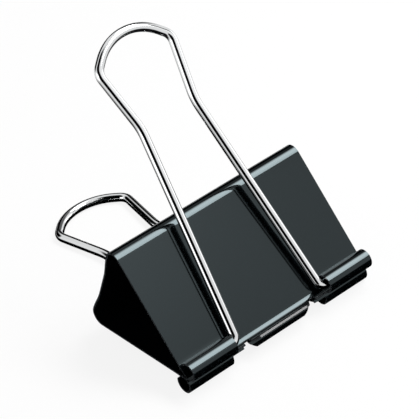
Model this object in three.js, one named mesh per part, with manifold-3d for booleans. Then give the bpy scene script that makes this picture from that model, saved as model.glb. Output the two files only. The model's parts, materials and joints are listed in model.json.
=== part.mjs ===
// Large spring clip: a folded sheet-steel body with two swinging wire handles.
//
// The clip is built upright in its own frame: X runs along the mouth, Y from the front side to
// the rear side, and Z from the axes of the mouth's tubes up to the spine. The last group then
// lays the clip down on its rear handle and rear tubes.
import * as THREE from "three";
import { mergeVertices } from "three/addons/utils/BufferGeometryUtils.js";
import Module from "manifold-3d";

// Driving dimensions of the sheet body, in millimetres
const bodyWidth = 51;
const clipHeight = 30.8;
const spineWidth = 25.3;
const sheetThickness = 0.45;
const cornerRadius = 2.45;
const spineDish = 0.65;
const spineFlatWidth = 6.4;
const mouthGap = 0.3;
const spineCut = 0.3;

// Driving dimensions of the tubes and lips at the mouth, in millimetres and in degrees of wrap
const tubePlay = 0.65;
const tubeWrap = 262;
const tubeRootWrap = 40;
const tubeRootReach = 3.2;
const notchWrap = 10;
const lipWrap = 75;
const lipWidth = 17.2;
const lipCornerWidth = 1.8;
const lipCornerHeight = 1.3;
const handleSideClearance = 0.3;

// Driving dimensions of the wire handles, in millimetres on the wire's centre line, and degrees
const wireDiameter = 2.1;
const armSpacing = 24.1;
const footInset = 3.5;
const footBendRadius = 1.6;
const neckSpacing = 14.7;
const neckDistance = 48.2;
const neckRadius = 13.4;
const shoulderSpacing = 20.1;
const shoulderRadius = 3;
const handleLength = 67.8;
const crownRadius = 11.4;
const crownSlope = 43.8;
const frontHandleLift = 2.6;
const rearHandleLift = 0.1;

// Fineness of the facets
const degreesPerFacet = 12;
const dishFacets = 4;
const wireSides = 12;

// Distance within which the corners of neighbouring facets are one point, in millimetres
const weldDistance = 1e-5;

// How far a cutter runs past the end of the sheet, in degrees of wrap
const cutterOverrun = 10;

// Sizes that follow from the driving dimensions
const radians = THREE.MathUtils.degToRad;
const degrees = THREE.MathUtils.radToDeg;
const wireRadius = wireDiameter / 2;
const tubeOuterRadius = wireRadius + tubePlay + sheetThickness;
const tubeMidRadius = tubeOuterRadius - sheetThickness / 2;
const tubeOffset = tubeOuterRadius + mouthGap / 2;
const tubeInnerEnd = armSpacing / 2 + wireRadius + handleSideClearance;
const tubeRootEnd = tubeInnerEnd - tubeRootReach;
const cornerMidRadius = cornerRadius - sheetThickness / 2;
const cornerOffset = spineWidth / 2 - cornerRadius;
const cornerHeight = clipHeight - cornerRadius - tubeOuterRadius;
const sideSlope = tangentSlope(cornerOffset - tubeOffset, cornerHeight, cornerMidRadius + tubeMidRadius);
const frontHandleAngle = sideSlope + radians(frontHandleLift);
const rearHandleAngle = sideSlope + radians(rearHandleLift);

const lacquer = new THREE.MeshStandardMaterial({ color: 0x15181a, roughness: 0.2, metalness: 0.1 });
const chrome = new THREE.MeshStandardMaterial({ color: 0xd9dcde, roughness: 0.12, metalness: 1 });

const wasm = await Module();
wasm.setup();

/**
 * The slope from upright of the straight line that touches two circles on opposite sides, when
 * the upper centre lies outward and height away from the lower one. In radians.
 */
function tangentSlope(outward, height, radiusSum) {
  return Math.atan2(outward, height) + Math.asin(radiusSum / Math.hypot(outward, height));
}

/** Angles from one value to another in even steps no wider than a facet. In radians. */
function arcAngles(from, to) {
  const steps = Math.ceil(Math.abs(degrees(to - from)) / degreesPerFacet);
  return Array.from({ length: steps + 1 }, (_, i) => from + ((to - from) * i) / steps);
}

/** The manifold solid of a closed geometry. */
function toSolid(geometry) {
  const bare = geometry.clone();
  bare.deleteAttribute("normal");
  bare.deleteAttribute("uv");
  const merged = mergeVertices(bare, weldDistance);
  const vertProperties = new Float32Array(merged.attributes.position.array);
  const triVerts = new Uint32Array(merged.index.array);
  return new wasm.Manifold(new wasm.Mesh({ numProp: 3, vertProperties, triVerts }));
}

/** The geometry of a manifold solid. */
function toGeometry(solid) {
  const mesh = solid.getMesh();
  const geometry = new THREE.BufferGeometry();
  geometry.setAttribute("position", new THREE.Float32BufferAttribute(mesh.vertProperties, 3));
  geometry.setIndex(new THREE.Uint32BufferAttribute(mesh.triVerts, 1));
  geometry.computeVertexNormals();
  return geometry;
}

/** A prism along X between two places, from a section whose points hold Y and Z. */
function prismAlongX(section, fromX, toX) {
  const geometry = new THREE.ExtrudeGeometry(new THREE.Shape(section), {
    depth: toX - fromX,
    bevelEnabled: false,
  });
  const axisX = new THREE.Vector3(1, 0, 0);
  const axisY = new THREE.Vector3(0, 1, 0);
  const axisZ = new THREE.Vector3(0, 0, 1);
  geometry.applyMatrix4(new THREE.Matrix4().makeBasis(axisY, axisZ, axisX));
  geometry.translate(fromX, 0, 0);
  return geometry;
}

/** A prism along Y between two places, from a section whose points hold X and Z. */
function prismAlongY(section, fromY, toY) {
  const geometry = new THREE.ExtrudeGeometry(new THREE.Shape(section), {
    depth: toY - fromY,
    bevelEnabled: false,
  });
  geometry.rotateX(Math.PI / 2);
  geometry.translate(0, toY, 0);
  return geometry;
}

/** A place on the middle of the sheet: distance out from the clip's middle plane, and height. */
function station(outward, height, normalOutward, normalHeight) {
  return {
    point: new THREE.Vector2(outward, height),
    normal: new THREE.Vector2(normalOutward, normalHeight).normalize(),
  };
}

/** Half of the spine: a flat strip in the middle and a smooth rise to the corner bend. */
function spineStations() {
  const top = cornerHeight + cornerMidRadius;
  const flatHalf = spineFlatWidth / 2;
  const rise = cornerOffset - flatHalf;
  const stations = [station(spineCut / 2, top - spineDish, 0, 1)];
  for (let i = 0; i < dishFacets; i++) {
    const turn = (Math.PI * i) / dishFacets;
    const height = top - (spineDish * (1 + Math.cos(turn))) / 2;
    const slope = (spineDish * Math.PI * Math.sin(turn)) / (2 * rise);
    stations.push(station(flatHalf + (rise * i) / dishFacets, height, -slope, 1));
  }
  return stations;
}

/** The corner bend, from the spine round to the sloping side. */
function cornerStations() {
  return arcAngles(Math.PI / 2, -sideSlope).map((angle) => {
    const out = Math.cos(angle);
    const up = Math.sin(angle);
    return station(cornerOffset + cornerMidRadius * out, cornerHeight + cornerMidRadius * up, out, up);
  });
}

/**
 * The tube at the mouth. Its wrap is 0 where the sheet is nearest to the clip's middle plane and
 * grows as the sheet curls round the mouth, outward and back up. The side joins it before 0.
 */
function tubeStations() {
  return arcAngles(-sideSlope, radians(tubeWrap)).map((wrap) => {
    const out = Math.cos(wrap);
    const up = Math.sin(wrap);
    return station(tubeOffset - tubeMidRadius * out, -tubeMidRadius * up, out, up);
  });
}

/** The closed outline of one jaw's sheet. Side is -1 for the front jaw and 1 for the rear one. */
function jawSection(side) {
  const stations = [...spineStations(), ...cornerStations(), ...tubeStations()];
  const half = sheetThickness / 2;
  const outer = stations.map(({ point, normal }) => point.clone().addScaledVector(normal, half));
  const inner = stations.map(({ point, normal }) => point.clone().addScaledVector(normal, -half));
  return [...outer, ...inner.reverse()].map((point) => new THREE.Vector2(side * point.x, point.y));
}

/** The section of a cutter that takes the tube away from one wrap angle to past its tip. */
function wrapCutter(side, fromWrap) {
  const reach = tubeOuterRadius + sheetThickness;
  const arc = arcAngles(radians(fromWrap), radians(tubeWrap + cutterOverrun)).map((wrap) => {
    const outward = tubeOffset - reach * Math.cos(wrap);
    return new THREE.Vector2(side * outward, -reach * Math.sin(wrap));
  });
  return [new THREE.Vector2(side * tubeOffset, 0), ...arc];
}

/** The cutters that leave two tubes, their wider roots and one lip along a jaw's mouth. */
function mouthCutters(side) {
  const lipHalf = lipWidth / 2;
  const margin = sheetThickness;
  const below = -tubeOuterRadius - margin;
  const cutters = [prismAlongX(wrapCutter(side, lipWrap), -lipHalf - margin, lipHalf + margin)];
  for (const hand of [-1, 1]) {
    const between = (x0, x1) => [Math.min(hand * x0, hand * x1), Math.max(hand * x0, hand * x1)];
    cutters.push(prismAlongX(wrapCutter(side, notchWrap), ...between(lipHalf, tubeRootEnd)));
    cutters.push(prismAlongX(wrapCutter(side, tubeRootWrap), ...between(lipHalf, tubeInnerEnd)));
    const corner = [
      new THREE.Vector2(hand * (lipHalf - lipCornerWidth), below),
      new THREE.Vector2(hand * (lipHalf + margin), below),
      new THREE.Vector2(hand * (lipHalf + margin), -tubeOuterRadius + lipCornerHeight),
    ];
    const tubeFarSide = side * 2 * tubeOffset;
    cutters.push(prismAlongY(corner, Math.min(0, tubeFarSide), Math.max(0, tubeFarSide)));
  }
  return cutters;
}

/** One half of the sheet body, from the middle of the spine to the mouth. */
function jawGeometry(side) {
  let solid = toSolid(prismAlongX(jawSection(side), -bodyWidth / 2, bodyWidth / 2));
  for (const cutter of mouthCutters(side)) {
    solid = solid.subtract(toSolid(cutter));
  }
  return toGeometry(solid);
}

/** A path of straight runs and round bends in the plane of X and Z, with its own steps. */
class BentPath extends THREE.Curve {
  constructor(corners) {
    super();
    this.stations = [];
    corners.forEach((corner, i) => {
      if (i === 0 || i === corners.length - 1) {
        const other = corners[i === 0 ? 1 : i - 1].at;
        const run = corner.at.clone().sub(other).normalize();
        this.stations.push({ point: corner.at, tangent: i === 0 ? run.negate() : run });
      } else {
        this.addBend(corners[i - 1].at, corner.at, corners[i + 1].at, corner.radius);
      }
    });
  }

  /** Adds the stations of a round bend that replaces the corner between two straight runs. */
  addBend(before, corner, after, radius) {
    const into = corner.clone().sub(before).normalize();
    const out = after.clone().sub(corner).normalize();
    const turn = Math.atan2(into.x * out.y - into.y * out.x, into.dot(out));
    const start = corner.clone().addScaledVector(into, -radius * Math.tan(Math.abs(turn) / 2));
    const toCentre = new THREE.Vector2(-into.y, into.x).multiplyScalar(Math.sign(turn));
    const centre = start.clone().addScaledVector(toCentre, radius);
    for (const angle of arcAngles(0, turn)) {
      const point = start.clone().rotateAround(centre, angle);
      const tangent = into.clone().rotateAround(new THREE.Vector2(), angle);
      this.stations.push({ point, tangent });
    }
  }

  nearest(t) {
    return this.stations[Math.round(t * (this.stations.length - 1))];
  }

  getPoint(t) {
    const { point } = this.nearest(t);
    return new THREE.Vector3(point.x, 0, point.y);
  }

  getPointAt(t) {
    return this.getPoint(t);
  }

  getTangentAt(t) {
    const { tangent } = this.nearest(t);
    return new THREE.Vector3(tangent.x, 0, tangent.y);
  }
}

/** The corners of the handle's centre line, foot to foot, before they are rounded. */
function handleCorners() {
  const slope = radians(crownSlope);
  const footEnd = bodyWidth / 2 - footInset;
  const peak = handleLength + crownRadius * (1 / Math.cos(slope) - 1);
  const shoulder = peak - (shoulderSpacing / 2) * Math.tan(slope);
  const corner = (x, z, radius) => ({ at: new THREE.Vector2(x, z), radius });
  return [
    corner(-footEnd, 0),
    corner(-armSpacing / 2, 0, footBendRadius),
    corner(-neckSpacing / 2, neckDistance, neckRadius),
    corner(-shoulderSpacing / 2, shoulder, shoulderRadius),
    corner(0, peak, crownRadius),
    corner(shoulderSpacing / 2, shoulder, shoulderRadius),
    corner(neckSpacing / 2, neckDistance, neckRadius),
    corner(armSpacing / 2, 0, footBendRadius),
    corner(footEnd, 0),
  ];
}

/** The bent wire of one handle, standing straight up from the axis of its feet. */
function handleGeometry() {
  const path = new BentPath(handleCorners());
  const section = Array.from({ length: wireSides }, (_, i) => {
    const angle = (2 * Math.PI * i) / wireSides;
    return new THREE.Vector2(wireRadius * Math.cos(angle), wireRadius * Math.sin(angle));
  });
  return new THREE.ExtrudeGeometry(new THREE.Shape(section), {
    steps: path.stations.length - 1,
    extrudePath: path,
    bevelEnabled: false,
  });
}

/** A named mesh. */
function named(name, geometry, material) {
  const mesh = new THREE.Mesh(geometry, material);
  mesh.name = name;
  return mesh;
}

const frontJaw = named("front_jaw", jawGeometry(-1), lacquer);
const rearJaw = named("rear_jaw", jawGeometry(1), lacquer);

const frontHandle = named("front_handle", handleGeometry(), chrome);
frontHandle.position.y = -tubeOffset;
frontHandle.rotation.x = frontHandleAngle;

const rearHandle = named("rear_handle", handleGeometry(), chrome);
rearHandle.position.y = tubeOffset;
rearHandle.rotation.x = -rearHandleAngle;

// The clip lies on the line that touches its rear tubes and the crown of its rear handle.
const clip = new THREE.Group();
clip.add(rearJaw, frontJaw, rearHandle, frontHandle);
const lyingAngle = rearHandleAngle - Math.asin((tubeOuterRadius - wireRadius) / handleLength);
clip.rotation.x = lyingAngle - Math.PI / 2;

// The origin is the middle of the bottom of the lying clip's box.
const part = new THREE.Group();
part.add(clip);
part.updateMatrixWorld(true);
const box = new THREE.Box3().setFromObject(part, true);
clip.position.y = -(box.min.y + box.max.y) / 2;
clip.position.z = -box.min.z;

export default part;
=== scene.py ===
"""Large spring clip: a folded sheet body in black lacquer with two bright wire handles.

The clip lies on its rear handle and its rear tubes. Shapes are worked out in the clip's own
frame, where X runs along the mouth, Y from the front side to the rear side and Z from the tubes'
axes up to the spine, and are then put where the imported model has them.
"""

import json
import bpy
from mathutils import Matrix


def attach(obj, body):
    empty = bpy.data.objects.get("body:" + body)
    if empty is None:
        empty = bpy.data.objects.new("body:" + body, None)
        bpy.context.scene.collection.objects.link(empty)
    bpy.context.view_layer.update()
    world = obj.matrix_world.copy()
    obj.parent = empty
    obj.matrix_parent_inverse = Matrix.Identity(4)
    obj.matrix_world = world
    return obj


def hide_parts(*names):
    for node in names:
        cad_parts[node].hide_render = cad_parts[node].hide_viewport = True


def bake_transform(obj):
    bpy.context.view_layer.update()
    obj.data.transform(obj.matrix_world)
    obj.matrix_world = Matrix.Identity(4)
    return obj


bl_info = {
    "name": "Large Spring Clip",
    "version": (1, 0, 0),
    "blender": (4, 5, 0),
    "location": "View3D > Sidebar > Spring Clip",
    "description": "Builds a folded spring clip with two wire handles",
    "category": "Object",
}

import bpy
import numpy as np
from bpy.props import FloatProperty, FloatVectorProperty, PointerProperty
from mathutils import Euler, Vector

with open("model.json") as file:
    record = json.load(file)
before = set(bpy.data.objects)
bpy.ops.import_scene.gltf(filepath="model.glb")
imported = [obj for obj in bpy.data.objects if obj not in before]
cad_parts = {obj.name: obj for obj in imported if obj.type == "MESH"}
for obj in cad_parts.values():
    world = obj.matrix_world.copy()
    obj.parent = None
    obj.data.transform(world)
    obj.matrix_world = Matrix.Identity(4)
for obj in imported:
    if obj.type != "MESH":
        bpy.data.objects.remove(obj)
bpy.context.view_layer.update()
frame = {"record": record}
JOINTS = {joint["name"]: joint for joint in frame["record"]["behaviour"]["joints"]}

MM = 0.001

# Angles and lengths closer than this are the same.
SAME_ANGLE = 1e-5
SAME_LENGTH = 1e-6

# Stations across the sheet: on half the flat strip, from there up to the corner, round the
# corner, down the side, and where the side goes over into a tube, whose own are a step apart.
STRIP_STATIONS = 5
RISE_STATIONS = 25
CORNER_STATIONS = 33
SIDE_STATIONS = 91
TUBE_START_STATIONS = 9
TUBE_STEP_DEGREES = 2.0

# Stations along half the mouth: over the lip, its narrowing end, the notch, a root and a tube.
MOUTH_STATIONS = (12, 9, 5, 9, 25)

# Steps of the mesh below a corner after which the body is split into its spine and its sides.
SEAM_STEPS = 4

# Along a wire: stations in the rounding of an end, the longest step, and the widest turn in a
# bend. Round it: sides of its section.
END_STATIONS = 6
WIRE_STEP = 1.5 * MM
BEND_STEP = np.radians(4)
WIRE_SIDES = 32

# How the finishes vary over a surface: the least and the most, as factors of their own value.
ROUGHNESS_SPREAD = (0.7, 1.3)
LACQUER_SPREAD = (0.8, 1.25)
PLATING_SPREAD = (0.95, 1.0)
EDGE_ROUGHNESS = (0.15, 0.3)

# Watts that a square metre of lamp needs to look as bright as a white background.
LAMP_POWER = np.pi

# Height above the floor that the lamps face, and the width of the camera's frame in millimetres.
LAMP_AIM = 20 * MM
FRAME_WIDTH = 36

# Unlit parts of the studio: azimuth, elevation, radius and soft edge in degrees, and the light
# that is left in the middle. Azimuths run from the front (0) to the right (90).
UNLIT_PARTS = (
    (-37, 26, 30, 4, 0.0),
    (-75, 62, 28, 6, 0.0),
    (-163, 20, 27, 6, 0.0),
    (150, 14, 25, 6, 0.0),
    (120, 38, 16, 6, 0.15),
    (50, 41, 10, 2, 0.0),
)

# Soft lamps: name, azimuth, elevation, distance, width and height, turn and level, and how much
# of the lamp fades at its left, right, lower and upper edge.
SOFTBOXES = (
    ("key_softbox", 71, 59, 0.7, (0.78, 0.26), 19, 11.5, (0.05, 0.42, 0.1, 0.1)),
    ("left_softbox", -94, 12, 0.8, (0.55, 0.50), 0, 1.2, (0.1, 0.1, 0.1, 0.1)),
    ("right_softbox", 75, 14, 0.8, (0.50, 0.35), 0, 1.0, (0.1, 0.1, 0.1, 0.1)),
    ("front_softbox", 32, 33, 0.9, (0.26, 0.20), 0, 0.8, (0.2, 0.6, 0.9, 0.1)),
)


def length(name, description, millimetres):
    """A size in the clip, given in millimetres."""
    return FloatProperty(
        name=name, description=description, default=millimetres * MM, min=0.0, unit="LENGTH",
        precision=5,
    )


def angle(name, description, degrees):
    """An angle, given in degrees."""
    return FloatProperty(
        name=name, description=description, default=np.radians(degrees), unit="ROTATION",
    )


def colour(name, description, value):
    """A colour in linear light."""
    return FloatVectorProperty(
        name=name, description=description, default=value, size=3, min=0.0, max=1.0,
        subtype="COLOR",
    )


def share(name, description, value):
    """A plain factor."""
    return FloatProperty(name=name, description=description, default=value, min=0.0)


class ClipBodySizes(bpy.types.PropertyGroup):
    width: length("Width", "Length of the mouth and the spine", 51)
    height: length("Height", "From the lowest point of the tubes to the top of the corners", 30.8)
    spine: length("Spine width", "Across the spine, over both corners", 25.3)
    sheet: length("Sheet thickness", "Thickness of the lacquered sheet", 0.45)
    corner: length("Corner radius", "Outer radius of the bends beside the spine", 2.45)
    dish: length("Spine dish", "How far the middle of the spine lies below the corners", 0.65)
    strip: length("Spine strip", "Width of the flat strip along the middle of the spine", 6.4)
    gap: length("Mouth gap", "Gap between the two rows of tubes", 0.3)
    play: length("Tube play", "Room round the wire inside a tube", 0.65)
    wrap: angle("Tube wrap", "How far the sheet curls round to form a tube", 262)
    root_wrap: angle("Root wrap", "How far the sheet curls beside a tube's inner end", 40)
    root_reach: length("Root reach", "How far a tube's root reaches inwards past the tube", 3.2)
    notch_wrap: angle("Notch wrap", "How far the sheet curls between lip and tube", 10)
    lip_wrap: angle("Lip wrap", "How far the lip in the middle of the mouth curls", 75)
    lip: length("Lip width", "Width of the lip in the middle of the mouth", 17.2)
    lip_corner: length("Lip corner", "How far the lip narrows towards its edge, each side", 1.8)
    side_clearance: length("Handle clearance", "Gap between an arm and a tube's end", 0.3)
    edge: length("Edge rounding", "Rounding of the sheet's cut edges", 0.07)
    ease: length("Side ease", "How far above the tubes' axes a side starts to swell", 3.4)
    swell: length("Side swell", "How far a side swells where it goes over into a tube", 0.07)


class ClipHandleSizes(bpy.types.PropertyGroup):
    wire: length("Wire", "Diameter of the wire", 2.1)
    arms: length("Arm spacing", "Between the arms at the tubes", 24.1)
    foot_inset: length("Foot inset", "From the end of a foot to the end of the body", 3.5)
    foot_bend: length("Foot bend", "Radius of the bend between foot and arm", 1.6)
    neck: length("Neck spacing", "Between the arms at the neck", 14.7)
    neck_distance: length("Neck distance", "From the feet to the neck", 48.2)
    neck_bend: length("Neck bend", "Radius of the bend at the neck", 13.4)
    shoulders: length("Shoulder spacing", "Between the shoulders of the loop", 20.1)
    shoulder_bend: length("Shoulder bend", "Radius of the bend at a shoulder", 3)
    length: length("Length", "From the feet to the crown of the loop", 67.8)
    crown_bend: length("Crown bend", "Radius of the bend at the crown", 11.4)
    crown_slope: angle("Crown slope", "Slope of the runs beside the crown", 43.8)
    front_lift: angle("Front lift", "Angle between the front handle and the front side", 2.6)
    rear_lift: angle("Rear lift", "Angle between the rear handle and the rear side", 0.1)
    end_rounding: length("End rounding", "Rounding of the wire's cut ends", 0.3)


class ClipFinish(bpy.types.PropertyGroup):
    lacquer: colour("Lacquer", "Colour of the lacquer", (0.0012, 0.0018, 0.0022))
    lacquer_gloss: colour("Lacquer gloss", "Tint of the lacquer's reflections", (0.77, 0.95, 1.0))
    edge_metal: colour(
        "Cut edge", "Colour of the lacquer where it is thin on a cut edge", (0.05, 0.055, 0.06)
    )
    plating: colour("Plating", "Colour of the bright plating on the wire", (0.72, 0.73, 0.735))
    lacquer_roughness: share("Lacquer roughness", "Roughness of the lacquer's surface", 0.1)
    plating_roughness: share("Plating roughness", "Roughness of the plating", 0.06)


class ClipStage(bpy.types.PropertyGroup):
    floor: FloatProperty(name="Floor", description="Side of the floor", default=3.0, unit="LENGTH")
    floor_colour: colour("Floor colour", "Colour of the pale floor", (0.9, 0.9, 0.9))
    floor_glow: share("Floor glow", "How much of the floor the camera sees as plain white", 0.87)
    # Painted shade: mirrors see the floor dark round a point before the clip, in place of the
    # clip's shadow.
    painted_shade_ahead: length("Dark floor ahead", "How far before the clip the dark floor's middle is", 40)
    painted_shade_radius: length("Dark floor", "How far round its middle mirrors see the floor dark", 70)
    white_floor: length("White floor", "From where mirrors see the floor white", 190)
    sky_light: share("Sky light", "Strength of the plain light from all round", 0.3)
    camera_place: FloatVectorProperty(
        name="Camera place", description="Where the camera stands",
        default=(-0.231957, -0.326964, 0.302974), size=3, unit="LENGTH", subtype="XYZ", precision=5,
    )
    camera_turn: FloatVectorProperty(
        name="Camera turn", description="Turn of the camera about X, Y and Z",
        default=tuple(np.radians((54.1351, 6.3171, -41.1831))), size=3, subtype="EULER",
    )
    lens: FloatProperty(
        name="Lens", description="Focal length over a frame 36 mm wide", default=193.79,
        unit="CAMERA",
    )


def clip_frame():
    """The clip's origin and its Y and Z directions in the row frame, from the tubes' axes.

    The origin is midway between the two axes, Y runs from the front axis to the rear one, and Z
    is square to Y and X.
    """
    front = np.array(JOINTS["front_handle_swing"]["pos_m"], float)
    rear = np.array(JOINTS["rear_handle_swing"]["pos_m"], float)
    across = (rear - front) / np.linalg.norm(rear - front)
    return (front + rear) / 2, across, np.cross((1.0, 0.0, 0.0), across)


def to_row(x, y, z):
    """Points given in the clip's frame, as rows of places in the row frame."""
    origin, across, up = clip_frame()
    x, y, z = np.broadcast_arrays(x, y, z)
    points = origin + y[..., None] * across + z[..., None] * up
    points[..., 0] += x
    return points.reshape(-1, 3)


def wire_radius():
    """Half the wire's diameter."""
    return bpy.context.scene.clip_handles.wire / 2


def tube_radius():
    """The tubes' outer radius: the wire, the play round it and the sheet."""
    b = bpy.context.scene.clip_body
    return wire_radius() + b.play + b.sheet


def tube_end():
    """From the middle of the clip to the inner end of a tube, just outside a handle's arm."""
    s = bpy.context.scene
    return s.clip_handles.arms / 2 + wire_radius() + s.clip_body.side_clearance


def side_slope():
    """Slope of the sides from upright, as the straight line that touches corner and tube."""
    b = bpy.context.scene.clip_body
    out = b.spine / 2 - b.corner - tube_radius() - b.gap / 2
    up = b.height - b.corner - tube_radius()
    radii = b.corner - b.sheet / 2 + tube_radius() - b.sheet / 2
    return np.arctan2(out, up) + np.arcsin(radii / np.hypot(out, up))


def half_fold():
    """Middle line of the sheet from the middle of the spine to the tip of a rear tube.

    A flat strip, a raised cosine up to the corner, a corner arc, a straight side that touches
    both arcs, and the tube's arc. Returns the distance out and the height of each station, its
    normal, and its wrap round the tube, which is below every cut on the stations before it.
    """
    b = bpy.context.scene.clip_body
    slope = side_slope()
    corner = b.corner - b.sheet / 2
    tube = tube_radius() - b.sheet / 2
    corner_out = b.spine / 2 - b.corner
    corner_up = b.height - b.corner - tube_radius()
    tube_out = tube_radius() + b.gap / 2
    top = corner_up + corner

    flat = np.linspace(0, b.strip / 2, STRIP_STATIONS)
    turn = np.linspace(0, np.pi, RISE_STATIONS)[1:]
    rise = corner_out - b.strip / 2
    out = [flat, b.strip / 2 + rise * turn / np.pi]
    up = [np.full_like(flat, top - b.dish), top - b.dish * (1 + np.cos(turn)) / 2]
    lean = np.arctan(b.dish * np.pi * np.sin(turn) / (2 * rise))
    normal = [np.full_like(flat, np.pi / 2), np.pi / 2 + lean]

    bend = np.linspace(np.pi / 2, -slope, CORNER_STATIONS)[1:]
    out.append(corner_out + corner * np.cos(bend))
    up.append(corner_up + corner * np.sin(bend))
    normal.append(bend)

    # The tube has a station at every cut too. Two that fall together are made one by rounding,
    # all but the last two, which the stored wrap leaves a millionth of a radian apart.
    wraps = np.radians(np.arange(0, np.degrees(b.wrap) + 0.1, TUBE_STEP_DEGREES))
    start = np.linspace(-slope, 0, TUBE_START_STATIONS)
    cuts = [-slope, b.notch_wrap, b.root_wrap, b.lip_wrap, b.wrap]
    wraps = np.unique(np.round(np.concatenate([wraps, cuts, start]), 6))
    arc_out = tube_out - tube * np.cos(wraps)
    arc_up = -tube * np.sin(wraps)

    along = np.linspace(0, 1, SIDE_STATIONS)[1:-1]
    out.append(out[-1][-1] + along * (arc_out[0] - out[-1][-1]))
    up.append(up[-1][-1] + along * (arc_up[0] - up[-1][-1]))
    normal.append(np.full_like(along, -slope))

    before = sum(len(part) for part in out)
    wrap = np.concatenate([np.full(before, -np.pi), wraps])
    out.append(arc_out)
    up.append(arc_up)
    normal.append(wraps)
    return np.concatenate(out), np.concatenate(up), np.concatenate(normal), wrap


def whole_fold():
    """The middle line from the tip of a front tube, over the spine, to the tip of a rear tube."""
    out, up, _, wrap = half_fold()
    mirror = slice(None, 0, -1)
    return (
        np.concatenate([-out[mirror], out]),
        np.concatenate([up[mirror], up]),
        np.concatenate([wrap[mirror], wrap]),
    )


def fill_mesh(mesh, points, faces, smooth=True):
    """Puts rows of points and of faces into a mesh, leaving out the points that no face uses."""
    used, renumbered = np.unique(faces, return_inverse=True)
    mesh.from_pydata(points[used].tolist(), [], renumbered.reshape(faces.shape).tolist())
    mesh.polygons.foreach_set("use_smooth", np.full(len(faces), smooth))
    mesh.update()


def link(name, mesh):
    """A new object that shows a mesh, at the origin."""
    obj = bpy.data.objects.new(name, mesh)
    bpy.context.scene.collection.objects.link(obj)
    return obj


def node_material(name):
    """A new material with its node tree and its shader."""
    material = bpy.data.materials.new(name)
    material.use_nodes = True
    tree = material.node_tree
    return material, tree, tree.nodes["Principled BSDF"]


def add_node(tree, kind, **values):
    """A node of a kind, with its settings and the values of its sockets."""
    node = tree.nodes.new(kind)
    for key, value in values.items():
        if hasattr(node, key):
            setattr(node, key, value)
        else:
            node.inputs[key.replace("_", " ")].default_value = value
    return node


def remapped(tree, source, low, high):
    """A number from 0 to 1 spread between two others."""
    node = add_node(tree, "ShaderNodeMapRange")
    node.inputs["To Min"].default_value = low
    node.inputs["To Max"].default_value = high
    tree.links.new(source, node.inputs["Value"])
    return node.outputs["Result"]


def scaled(factor, values):
    """A colour times a factor."""
    return tuple(factor * value for value in values)


def vary_colour(tree, shader, source, first, second):
    """Mixes the shader's colour from two, by a number from 0 to 1."""
    tint = add_node(tree, "ShaderNodeMix", data_type="RGBA")
    tint.inputs["A"].default_value = (*first, 1)
    tint.inputs["B"].default_value = (*second, 1)
    tree.links.new(source, tint.inputs["Factor"])
    tree.links.new(tint.outputs["Result"], shader.inputs["Base Color"])


def vary_roughness(tree, shader, source, least, most):
    """Spreads the shader's roughness between two, by a number from 0 to 1."""
    tree.links.new(remapped(tree, source, least, most), shader.inputs["Roughness"])


def lacquer_material():
    """Glossy black lacquer with a fine orange-peel surface and a faint uneven sheen."""
    f = bpy.context.scene.clip_finish
    material, tree, shader = node_material("black_lacquer")
    place = add_node(tree, "ShaderNodeTexCoord").outputs["Object"]
    patches = add_node(tree, "ShaderNodeTexNoise", Scale=90.0, Detail=4.0)
    peel = add_node(tree, "ShaderNodeTexNoise", Scale=900.0, Detail=2.0)
    for node in (patches, peel):
        tree.links.new(place, node.inputs["Vector"])
    colours = [scaled(factor, f.lacquer) for factor in LACQUER_SPREAD]
    vary_colour(tree, shader, patches.outputs["Fac"], *colours)
    rough = [factor * f.lacquer_roughness for factor in ROUGHNESS_SPREAD]
    vary_roughness(tree, shader, patches.outputs["Fac"], *rough)
    bump = add_node(tree, "ShaderNodeBump", Strength=0.04, Distance=0.00001)
    tree.links.new(peel.outputs["Fac"], bump.inputs["Height"])
    tree.links.new(bump.outputs["Normal"], shader.inputs["Normal"])
    shader.inputs["IOR"].default_value = 1.5
    shader.inputs["Specular Tint"].default_value = (*f.lacquer_gloss, 1)
    return material


def cut_edge_material():
    """The cut edge of the sheet, where the lacquer is thin and the steel shows through."""
    f = bpy.context.scene.clip_finish
    material, tree, shader = node_material("lacquered_edge")
    place = add_node(tree, "ShaderNodeTexCoord").outputs["Object"]
    wear = add_node(tree, "ShaderNodeTexNoise", Scale=500.0, Detail=3.0)
    tree.links.new(place, wear.inputs["Vector"])
    vary_colour(tree, shader, wear.outputs["Fac"], f.lacquer, f.edge_metal)
    vary_roughness(tree, shader, wear.outputs["Fac"], *EDGE_ROUGHNESS)
    return material


def plating_material():
    """Bright plated wire with faint lines from drawing that run along it."""
    f = bpy.context.scene.clip_finish
    material, tree, shader = node_material("bright_plating")
    shader.inputs["Metallic"].default_value = 1.0
    place = add_node(tree, "ShaderNodeUVMap", uv_map="along_wire").outputs["UV"]
    drawn = add_node(tree, "ShaderNodeTexNoise", Scale=1.0, Detail=3.0)
    stretch = add_node(tree, "ShaderNodeMapping")
    stretch.inputs["Scale"].default_value = (40.0, 2500.0, 1.0)
    tree.links.new(place, stretch.inputs["Vector"])
    tree.links.new(stretch.outputs["Vector"], drawn.inputs["Vector"])
    colours = [scaled(factor, f.plating) for factor in PLATING_SPREAD]
    vary_colour(tree, shader, drawn.outputs["Fac"], *colours)
    rough = [factor * f.plating_roughness for factor in ROUGHNESS_SPREAD]
    vary_roughness(tree, shader, drawn.outputs["Fac"], *rough)
    return material


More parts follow.
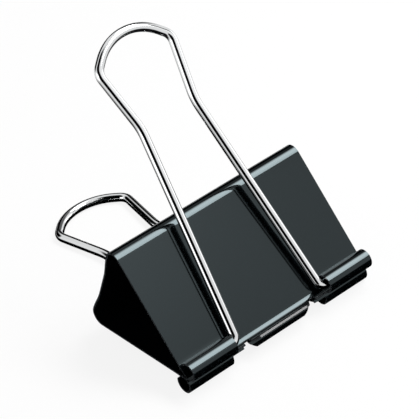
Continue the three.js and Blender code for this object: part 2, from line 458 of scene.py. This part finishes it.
def sides_of(whole):
    """How far each face of the body is out of its middle, and whether it belongs to a side.

    A side starts at a plane square to it that cuts the sheet a few steps below the corner, and
    all of it lies lower than the corner's centre.
    """
    b = bpy.context.scene.clip_body
    slope = side_slope()
    centre = np.empty(3 * len(whole.polygons))
    whole.polygons.foreach_get("center", centre)
    origin, across, up = clip_frame()
    centre = centre.reshape(-1, 3) - origin
    y, z = centre @ across, centre @ up

    fold_out, fold_up, normal, wrap = half_fold()
    seam = np.flatnonzero(np.isclose(normal, -slope) & (wrap < -slope))[SEAM_STEPS]
    down = -(np.abs(y) - fold_out[seam]) * np.sin(slope) - (z - fold_up[seam]) * np.cos(slope)
    return y, (down > 0) & (z < b.height - b.corner - tube_radius())


def split_off(whole, name, kept):
    """An object with some faces of a mesh and their normals, closed by flat faces where cut."""
    corners = [tuple(face.vertices) for face, keep in zip(whole.polygons, kept) if keep]
    slots = [face.material_index for face, keep in zip(whole.polygons, kept) if keep]
    normals = np.empty(3 * len(whole.loops))
    whole.corner_normals.foreach_get("vector", normals)
    sizes = [face.loop_total for face in whole.polygons]
    shown = normals.reshape(-1, 3)[np.repeat(kept, sizes)]

    # An edge that only one face uses is at a cut, and the face that closes it runs the other way.
    edges = {pair for face in corners for pair in zip(face, face[1:] + face[:1])}
    after = {end: start for start, end in edges if (end, start) not in edges}
    caps = []
    while after:
        first = min(after)
        ring = [first]
        while after[ring[-1]] != first:
            ring.append(after.pop(ring[-1]))
        after.pop(ring[-1])
        caps.append(ring)

    used, renumbered = np.unique(np.concatenate(corners + caps), return_inverse=True)
    faces = np.split(renumbered, np.cumsum([len(face) for face in corners + caps])[:-1])
    places = np.empty(3 * len(whole.vertices))
    whole.vertices.foreach_get("co", places)
    mesh = bpy.data.meshes.new(name)
    mesh.from_pydata(places.reshape(-1, 3)[used].tolist(), [], [face.tolist() for face in faces])
    mesh.polygons.foreach_set("material_index", slots + [0] * len(caps))
    mesh.polygons.foreach_set("use_smooth", [True] * len(corners) + [False] * len(caps))
    for material in whole.materials:
        mesh.materials.append(material)
    closing = np.zeros((sum(len(ring) for ring in caps), 3))
    mesh.normals_split_custom_set(np.concatenate([shown, closing]).tolist())
    return link(name, mesh)


def sheet_mesh():
    """The body's middle surface: the fold carried along the mouth, less what is cut away.

    A point is the fold's, moved along the mouth, and outwards from the side by the swell above a
    tube. The lip narrows towards its edge, and a cell of the grid is left out past the cuts.
    """
    b = bpy.context.scene.clip_body
    lip = b.lip / 2
    tube = tube_end()
    root = tube - b.root_reach
    marks = [0, lip - b.lip_corner, lip, root, tube, b.width / 2]
    parts = zip(marks[:-1], marks[1:], MOUTH_STATIONS)
    right = np.unique(np.concatenate([np.linspace(*part) for part in parts]))
    x = np.concatenate([-right[:0:-1], right])
    out, up, wrap = whole_fold()

    # A cell is kept where its farthest wrap is within the cut at its place along the mouth.
    place = np.abs(x[:-1] + x[1:]) / 2
    cut = np.select(
        [place < lip, place < root, place < tube],
        [b.lip_wrap, b.notch_wrap, b.root_wrap],
        b.wrap,
    )
    farthest = np.maximum(wrap[:-1], wrap[1:])
    rows, columns = np.nonzero(farthest <= cut[:, None] + SAME_ANGLE)
    first = rows * len(out) + columns
    faces = np.stack([first, first + 1, first + 1 + len(out), first + len(out)], axis=1)

    # The lip's half width falls as the square of the wrap.
    curl = np.clip((wrap - b.notch_wrap) / (b.lip_wrap - b.notch_wrap), 0, 1) ** 2
    narrow = 1 - curl * b.lip_corner / lip
    along = x[:, None]
    spread = np.where(np.abs(along) <= lip + SAME_LENGTH, along * narrow, along)

    # Above a tube the side swells by the square of a sine, and beside the lip it doesn't.
    near = np.clip(1 - up / b.ease, 0, 1)
    swell = np.where(wrap < 0, b.swell * np.sin(np.pi * near) ** 2, 0)
    beside = np.clip((np.abs(along) - lip) / (tube - lip), 0, 1)
    swell = beside ** 2 * (3 - 2 * beside) * swell
    slope = side_slope()
    outwards = out + np.sign(out) * np.cos(slope) * swell

    mesh = bpy.data.meshes.new("body_sheet")
    fill_mesh(mesh, to_row(spread, outwards, up - np.sin(slope) * swell), faces)
    return mesh


def thicken(obj):
    """Gives the sheet its thickness, half to each side, and rounds its cut edges.

    The rounding can't be wider than the cells beside a cut edge. The very narrow last cells of
    the tubes keep it at 0.0002 mm, and leave the cut faces there up to 0.35 mm out of square.
    """
    b = bpy.context.scene.clip_body
    wall = obj.modifiers.new("Wall", "SOLIDIFY")
    wall.thickness = b.sheet
    wall.offset = 0.0
    wall.use_even_offset = True
    wall.material_offset_rim = 1
    rounding = obj.modifiers.new("Edges", "BEVEL")
    rounding.width = b.edge
    rounding.segments = 2
    rounding.limit_method = "ANGLE"
    rounding.angle_limit = np.radians(50)
    rounding.harden_normals = True


class CLIP_OT_body(bpy.types.Operator):
    """Builds the folded sheet body, with its tubes, roots and lips"""

    bl_idname = "clip.body"
    bl_label = "Folded Sheet Body"

    def execute(self, context):
        b = context.scene.clip_body
        obj = link("body_sheet", sheet_mesh())
        obj.data.materials.append(lacquer_material())
        obj.data.materials.append(cut_edge_material())
        thicken(obj)
        context.view_layer.update()
        solid = obj.evaluated_get(context.evaluated_depsgraph_get())
        whole = bpy.data.meshes.new_from_object(solid)
        bpy.data.objects.remove(obj)
        out_of_middle, below_corner = sides_of(whole)
        for side, jaw in ((-1, "front_jaw"), (1, "rear_jaw")):
            part = split_off(whole, f"{jaw}_side", below_corner & (out_of_middle * side > 0))
            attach(part, jaw)
            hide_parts(jaw)

        top = b.height - tube_radius()
        reach = b.spine / 2 - b.corner
        start, end = to_row(0.0, np.array([reach, -reach]), np.array([top, top]))
        spine = split_off(whole, "spine", ~below_corner)
        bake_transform(spine)
        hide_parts("rear_jaw", "front_jaw")
        return {"FINISHED"}


def bent_line(corners, radii, step):
    """A line through corners that are rounded by arcs, as points and directions of travel.

    At a corner the run turns by an angle. The arc starts before it by the radius times the
    tangent of half that angle, and goes round a centre that lies square to the run.
    """
    points = [corners[0][None]]
    ways = [np.arctan2(*(corners[1] - corners[0])[::-1])[None]]
    for before, corner, after, radius in zip(corners[:-2], corners[1:-1], corners[2:], radii):
        into, away = corner - before, after - corner
        way = np.arctan2(into[1], into[0])
        turn = np.arctan2(into[0] * away[1] - into[1] * away[0], into @ away)
        start = corner - into / np.linalg.norm(into) * radius * np.tan(abs(turn) / 2)
        side = np.sign(turn)
        centre = start + side * radius * np.array([-np.sin(way), np.cos(way)])
        sweep = way + np.linspace(0, turn, int(np.ceil(abs(turn) / step)) + 1)
        arc = centre + side * radius * np.stack([np.sin(sweep), -np.cos(sweep)], axis=1)
        points.append(arc)
        ways.append(sweep)
    last = np.arctan2(*(corners[-1] - corners[-2])[::-1])
    points.append(corners[-1][None])
    ways.append(last[None])
    return np.concatenate(points), np.concatenate(ways)


def handle_line():
    """Centre line of a handle from foot to foot, in its own plane."""
    b = bpy.context.scene.clip_body
    h = bpy.context.scene.clip_handles
    foot = b.width / 2 - h.foot_inset
    peak = h.length + h.crown_bend * (1 / np.cos(h.crown_slope) - 1)
    shoulder = peak - h.shoulders / 2 * np.tan(h.crown_slope)
    left = [
        (-foot, 0),
        (-h.arms / 2, 0),
        (-h.neck / 2, h.neck_distance),
        (-h.shoulders / 2, shoulder),
    ]
    right = [(-x, z) for x, z in reversed(left)]
    radii = [h.foot_bend, h.neck_bend, h.shoulder_bend]
    corners = np.array(left + [(0, peak)] + right)
    return bent_line(corners, radii + [h.crown_bend] + radii[::-1], BEND_STEP)


def even_line(points, ways, step):
    """The same line with stations added a step apart, where two that fall together are one.

    Returns the points, the directions of travel and the way travelled.
    """
    runs = np.linalg.norm(np.diff(points, axis=0), axis=1)
    travelled = np.concatenate([[0], np.cumsum(runs)])
    extra = np.arange(step, travelled[-1], step)
    at = np.unique(np.round(np.concatenate([travelled, extra]), 7))
    line = np.stack([np.interp(at, travelled, points[:, i]) for i in (0, 1)], axis=1)
    return line, np.interp(at, travelled, np.unwrap(ways)), at


def wire_mesh(name, side, turn):
    """A round wire along the handle's line, with rounded ends, on one side of the clip.

    A point of the surface is the line's point, plus the radius there times the cosine of an angle
    along the normal in the handle's plane, plus the sine of it square to that plane. The radius
    falls as a quarter circle over the last part of each foot.
    """
    h = bpy.context.scene.clip_handles
    b = bpy.context.scene.clip_body
    line, ways, at = even_line(*handle_line(), WIRE_STEP)
    total = at[-1]
    ends = h.end_rounding * (1 - np.cos(np.linspace(0, np.pi / 2, END_STATIONS)))
    inside = np.minimum(at, total - at) > h.end_rounding + SAME_LENGTH
    level = np.zeros(END_STATIONS)
    head = np.stack([line[0, 0] + ends, level], axis=1)
    tail = np.stack([line[-1, 0] - ends[::-1], level], axis=1)
    line = np.concatenate([head, line[inside], tail])
    ways = np.concatenate([level + ways[0], ways[inside], level + ways[-1]])
    at = np.concatenate([ends, at[inside], total - ends[::-1]])
    depth = np.minimum(at, total - at)
    cut = np.clip(1 - depth / h.end_rounding, 0, 1)
    radius = h.wire / 2 - h.end_rounding * (1 - np.sqrt(1 - cut**2))

    round_angle = np.linspace(0, 2 * np.pi, WIRE_SIDES, endpoint=False)
    in_plane = radius[:, None] * np.cos(round_angle)
    off_plane = radius[:, None] * np.sin(round_angle)
    x = line[:, 0, None] - np.sin(ways)[:, None] * in_plane
    along = line[:, 1, None] + np.cos(ways)[:, None] * in_plane
    # The handle stands in the plane of X and Z at first, and is then turned about its feet.
    y = side * (tube_radius() + b.gap / 2 + along * np.sin(turn) + off_plane * np.cos(turn))
    z = along * np.cos(turn) - off_plane * np.sin(turn)
    points = to_row(x, y, z)

    count = len(line)
    ring = np.arange(count - 1)[:, None] * WIRE_SIDES
    here = np.arange(WIRE_SIDES)
    after = (here + 1) % WIRE_SIDES
    above = ring + WIRE_SIDES
    faces = np.stack([ring + here, ring + after, above + after, above + here], axis=2)
    faces = faces.reshape(-1, 4)
    mesh = bpy.data.meshes.new(name)
    first, last = here[::-1].tolist(), (here + (count - 1) * WIRE_SIDES).tolist()
    mesh.from_pydata(points.tolist(), [], faces.tolist() + [first, last])
    mesh.polygons.foreach_set("use_smooth", np.full(len(faces) + 2, True))
    if side > 0:
        mesh.flip_normals()
    layer = mesh.uv_layers.new(name="along_wire")
    vertex = np.empty(len(mesh.loops), np.int32)
    mesh.loops.foreach_get("vertex_index", vertex)
    around = (vertex % WIRE_SIDES) * (h.wire * np.pi / WIRE_SIDES)
    layer.data.foreach_set("uv", np.stack([at[vertex // WIRE_SIDES], around], axis=1).ravel())
    mesh.update()
    return mesh


class CLIP_OT_handles(bpy.types.Operator):
    """Builds the two bent wire handles, each turned about its feet in the tubes by its lift"""

    bl_idname = "clip.handles"
    bl_label = "Wire Handles"

    def execute(self, context):
        h = context.scene.clip_handles
        material = plating_material()
        for name, side, lift in (("front", -1, h.front_lift), ("rear", 1, h.rear_lift)):
            mesh = wire_mesh(f"{name}_wire", side, side_slope() + lift)
            mesh.materials.append(material)
            obj = link(f"{name}_wire", mesh)
            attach(obj, f"{name}_handle")
            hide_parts(f"{name}_handle")
        return {"FINISHED"}


def toward(azimuth, elevation):
    """Unit direction at an azimuth, from the front towards the right, and an elevation."""
    flat = np.cos(elevation)
    return np.array([np.sin(azimuth) * flat, -np.cos(azimuth) * flat, np.sin(elevation)])


def product(tree, first, second):
    """Two numbers multiplied."""
    node = add_node(tree, "ShaderNodeMath", operation="MULTIPLY")
    tree.links.new(first, node.inputs[0])
    tree.links.new(second, node.inputs[1])
    return node.outputs["Value"]


def smooth_step(tree, source, start, end, low=0.0, high=1.0):
    """A number that goes smoothly from one value to another between two edges."""
    node = add_node(tree, "ShaderNodeMapRange", interpolation_type="SMOOTHSTEP")
    node.inputs["From Min"].default_value = start
    node.inputs["From Max"].default_value = end
    node.inputs["To Min"].default_value = low
    node.inputs["To Max"].default_value = high
    tree.links.new(source, node.inputs["Value"])
    return node.outputs["Result"]


def seen_in(tree):
    """One for what the camera sees, and one for what mirrors and glass see."""
    path = add_node(tree, "ShaderNodeLightPath")
    mirrored = add_node(tree, "ShaderNodeMath", operation="MAXIMUM")
    tree.links.new(path.outputs["Is Glossy Ray"], mirrored.inputs[0])
    tree.links.new(path.outputs["Is Transmission Ray"], mirrored.inputs[1])
    return path.outputs["Is Camera Ray"], mirrored.outputs["Value"]


def floor_material():
    """Pale floor: white with a soft shadow for the camera, and white in mirrors.

    Just before the clip mirrors see it dark. This is painted shade, standing in for the light that
    an object keeps off a floor.
    """
    s = bpy.context.scene.clip_stage
    material, tree, shader = node_material("pale_floor")
    shader.inputs["Base Color"].default_value = (*s.floor_colour, 1)
    shader.inputs["Roughness"].default_value = 0.9
    shader.inputs["Specular IOR Level"].default_value = 0.0
    camera, mirror = seen_in(tree)

    glow = add_node(tree, "ShaderNodeEmission", Strength=1.0)
    direct = add_node(tree, "ShaderNodeMixShader")
    tree.links.new(remapped(tree, camera, 0, s.floor_glow), direct.inputs["Fac"])
    tree.links.new(shader.outputs["BSDF"], direct.inputs[1])
    tree.links.new(glow.outputs["Emission"], direct.inputs[2])

    # Painted shade: mirrors see the floor's glow rise from nothing near a point before the clip to
    # white farther out.
    place = add_node(tree, "ShaderNodeTexCoord").outputs["Object"]
    distance = add_node(tree, "ShaderNodeVectorMath", operation="DISTANCE")
    distance.inputs[1].default_value = (0, -s.painted_shade_ahead, 0)
    tree.links.new(place, distance.inputs[0])
    far = smooth_step(tree, distance.outputs["Value"], s.painted_shade_radius, s.white_floor)
    mirrored = add_node(tree, "ShaderNodeEmission")
    tree.links.new(far, mirrored.inputs["Strength"])

    mix = add_node(tree, "ShaderNodeMixShader")
    tree.links.new(mirror, mix.inputs["Fac"])
    tree.links.new(direct.outputs["Shader"], mix.inputs[1])
    tree.links.new(mirrored.outputs["Emission"], mix.inputs[2])
    tree.links.new(mix.outputs["Shader"], tree.nodes["Material Output"].inputs["Surface"])
    return material


def set_world():
    """White for the camera, plain soft light on the clip, and a white studio in mirrors.

    Mirrors see white all round but for the unlit parts. Each is a round patch: the cosine of the
    angle from its middle goes through a smooth step, and the patches are multiplied.
    """
    s = bpy.context.scene.clip_stage
    world = bpy.data.worlds.new("studio")
    world.use_nodes = True
    bpy.context.scene.world = world
    tree = world.node_tree
    camera, mirror = seen_in(tree)

    way = add_node(tree, "ShaderNodeTexCoord").outputs["Generated"]
    studio = mirror
    for azimuth, elevation, radius, soft, left in UNLIT_PARTS:
        cosine = add_node(tree, "ShaderNodeVectorMath", operation="DOT_PRODUCT")
        tree.links.new(way, cosine.inputs[0])
        cosine.inputs[1].default_value = toward(np.radians(azimuth), np.radians(elevation))
        edges = np.cos(np.radians((radius + soft, radius - soft)))
        patch = smooth_step(tree, cosine.outputs["Value"], *edges, 1.0, left)
        studio = product(tree, studio, patch)

    strength = add_node(tree, "ShaderNodeMix", data_type="FLOAT")
    tree.links.new(mirror, strength.inputs["Factor"])
    tree.links.new(remapped(tree, camera, s.sky_light, 1.0), strength.inputs["A"])
    tree.links.new(studio, strength.inputs["B"])
    background = tree.nodes["Background"]
    background.inputs["Color"].default_value = (1, 1, 1, 1)
    tree.links.new(strength.outputs["Result"], background.inputs["Strength"])


def add_softbox(name, azimuth, elevation, distance, size, turn, level, fades):
    """A rectangular soft lamp that faces the clip, whose brightness fades at its edges.

    The brightness is the level times a smooth step in from each of the four edges.
    """
    light = bpy.data.lights.new(name, "AREA")
    light.shape = "RECTANGLE"
    light.size, light.size_y = size
    light.energy = LAMP_POWER * size[0] * size[1] * level
    light.use_nodes = True
    tree = light.node_tree
    across = add_node(tree, "ShaderNodeSeparateXYZ")
    tree.links.new(add_node(tree, "ShaderNodeNewGeometry").outputs["Parametric"], across.inputs[0])
    left, right, lower, upper = fades
    amount = smooth_step(tree, across.outputs["X"], 0, left)
    amount = product(tree, amount, smooth_step(tree, across.outputs["X"], 1, 1 - right))
    amount = product(tree, amount, smooth_step(tree, across.outputs["Y"], 0, lower))
    amount = product(tree, amount, smooth_step(tree, across.outputs["Y"], 1, 1 - upper))
    tree.links.new(amount, tree.nodes["Emission"].inputs["Strength"])

    lamp = bpy.data.objects.new(name, light)
    way = Vector(toward(np.radians(azimuth), np.radians(elevation)))
    lamp.location = way * distance + Vector((0, 0, LAMP_AIM))
    facing = way.to_track_quat("Z", "Y") @ Euler((0, 0, np.radians(turn))).to_quaternion()
    lamp.rotation_euler = facing.to_euler()
    bpy.context.scene.collection.objects.link(lamp)


class CLIP_OT_stage(bpy.types.Operator):
    """Sets the pale floor, the soft light, the background and the camera"""

    bl_idname = "clip.stage"
    bl_label = "Studio Stage"

    def execute(self, context):
        s = context.scene.clip_stage
        scene = context.scene
        scene.view_settings.view_transform = "Standard"
        half = s.floor / 2
        corners = np.array([(-half, -half, 0), (half, -half, 0), (half, half, 0), (-half, half, 0)])
        mesh = bpy.data.meshes.new("floor")
        fill_mesh(mesh, corners, np.array([[0, 1, 2, 3]]), smooth=False)
        mesh.materials.append(floor_material())
        link("floor", mesh)
        set_world()
        for values in SOFTBOXES:
            add_softbox(*values)

        camera = bpy.data.objects.new("camera", bpy.data.cameras.new("camera"))
        camera.location = s.camera_place
        camera.rotation_euler = Euler(s.camera_turn, "XYZ")
        camera.data.sensor_width = FRAME_WIDTH
        camera.data.lens = s.lens
        scene.collection.objects.link(camera)
        scene.camera = camera
        return {"FINISHED"}


class CLIP_PT_panel(bpy.types.Panel):
    bl_label = "Spring Clip"
    bl_idname = "CLIP_PT_panel"
    bl_space_type = "VIEW_3D"
    bl_region_type = "UI"
    bl_category = "Spring Clip"

    def draw(self, context):
        for group, operator in (
            ("clip_body", "clip.body"),
            ("clip_handles", "clip.handles"),
            ("clip_finish", None),
            ("clip_stage", "clip.stage"),
        ):
            settings = getattr(context.scene, group)
            box = self.layout.box()
            for key in settings.bl_rna.properties.keys():
                if key not in ("rna_type", "name"):
                    box.prop(settings, key)
            if operator:
                box.operator(operator)


GROUPS = {
    "clip_body": ClipBodySizes,
    "clip_handles": ClipHandleSizes,
    "clip_finish": ClipFinish,
    "clip_stage": ClipStage,
}
CLASSES = (*GROUPS.values(), CLIP_OT_body, CLIP_OT_handles, CLIP_OT_stage, CLIP_PT_panel)


def register():
    for cls in CLASSES:
        bpy.utils.register_class(cls)
    for name, cls in GROUPS.items():
        setattr(bpy.types.Scene, name, PointerProperty(type=cls))


def unregister():
    for name in GROUPS:
        delattr(bpy.types.Scene, name)
    for cls in reversed(CLASSES):
        bpy.utils.unregister_class(cls)


def main():
    register()
    bpy.ops.clip.stage()
    bpy.ops.clip.body()
    bpy.ops.clip.handles()


if __name__ == "__main__":
    main()
